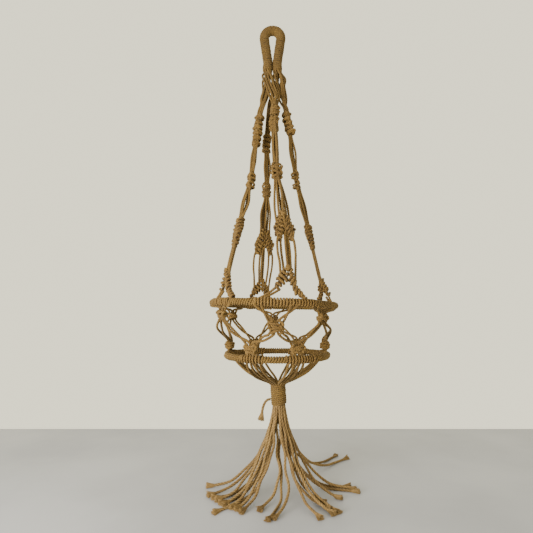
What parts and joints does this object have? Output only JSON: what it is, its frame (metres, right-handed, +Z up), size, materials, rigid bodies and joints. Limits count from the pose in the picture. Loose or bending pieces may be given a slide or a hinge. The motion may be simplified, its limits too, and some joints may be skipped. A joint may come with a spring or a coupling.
{
  "type": "hanging macrame planter",
  "caption": "Hanging plant holder of knotted jute cord, with a wrapped loop, knotted arms, two cord-wrapped hoops joined by an open net, and a loose tassel.",
  "frame": {"origin": "where a hook bears, at the top of the inside of the hanging loop's eye", "axes": "+Z up along the planter as it hangs; -Y is the front, where the front arm hangs; +X is to the right of someone facing the front"},
  "size_m": [0.2995, 0.2962, 0.9513],
  "materials": {
    "jute_cord": "matt twisted jute cord, slightly hairy",
    "jute_winding": "matt jute cord wound tight",
    "jute_knots": "matt knotted jute cord",
    "jute_tassel": "matt jute cord with frayed ends",
    "hoop_wire": "plain wire, hidden inside the winding"
  },
  "bodies": {
    "hanging_loop": {"hanging_loop_core": "jute_cord", "hanging_loop_wrap": "jute_winding"},
    "neck": {"neck_cords": "jute_cord"},
    "hanger": {"arm_front_cords": "jute_cord", "arm_front_upper_knots": "jute_knots", "arm_front_leaf_knot": "jute_knots", "arm_front_ring_knot": "jute_knots", "arm_left_cords": "jute_cord", "arm_left_upper_knots": "jute_knots", "arm_left_leaf_knot": "jute_knots", "arm_left_ring_knot": "jute_knots", "arm_right_cords": "jute_cord", "arm_right_upper_knots": "jute_knots", "arm_right_leaf_knot": "jute_knots", "arm_right_ring_knot": "jute_knots", "arm_rear_cords": "jute_cord", "arm_rear_upper_knots": "jute_knots", "arm_rear_leaf_knot": "jute_knots", "arm_rear_ring_knot": "jute_knots", "upper_ring_hoop": "hoop_wire", "upper_ring_wrap": "jute_winding", "upper_ring_hitches": "jute_knots", "net_upper_cords": "jute_cord", "net_upper_knots": "jute_knots", "net_middle_cords": "jute_cord"},
    "basket": {"net_lower_knots": "jute_knots", "lower_ring_hoop": "hoop_wire", "lower_ring_wrap": "jute_winding", "lower_ring_hitches": "jute_knots", "basket_base_cords": "jute_cord", "gathered_cords": "jute_cord", "gathering_wrap": "jute_winding", "wrap_tail": "jute_tassel", "tassel_strand_01": "jute_tassel", "tassel_strand_02": "jute_tassel", "tassel_strand_03": "jute_tassel", "tassel_strand_04": "jute_tassel", "tassel_strand_05": "jute_tassel", "tassel_strand_06": "jute_tassel", "tassel_strand_07": "jute_tassel", "tassel_strand_08": "jute_tassel", "tassel_strand_09": "jute_tassel", "tassel_strand_10": "jute_tassel", "tassel_strand_11": "jute_tassel", "tassel_strand_12": "jute_tassel", "tassel_strand_13": "jute_tassel", "tassel_strand_14": "jute_tassel", "tassel_strand_15": "jute_tassel", "tassel_strand_16": "jute_tassel", "tassel_strand_17": "jute_tassel", "tassel_strand_18": "jute_tassel", "tassel_strand_19": "jute_tassel", "tassel_strand_20": "jute_tassel", "tassel_strand_21": "jute_tassel", "tassel_strand_22": "jute_tassel", "tassel_strand_23": "jute_tassel", "tassel_strand_24": "jute_tassel"}
  },
  "joints": [
    {"name": "neck_swing", "type": "hinge", "parent": "hanging_loop", "child": "neck", "pos_m": [0, 0, -0.089], "axis": [1, 0, 0], "range_deg": [-12, 12]},
    {"name": "neck_twist", "type": "hinge", "parent": "neck", "child": "hanger", "pos_m": [0, 0, -0.134], "axis": [0, 0, 1], "range_deg": [-60, 60], "stiffness_Nm_per_rad": 0.01},
    {"name": "basket_lift", "type": "slide", "parent": "hanger", "child": "basket", "axis": [0, 0, 1], "range_m": [0, 0.045], "deforming": ["net_upper_cords", "net_upper_knots", "net_middle_cords"]}
  ]
}
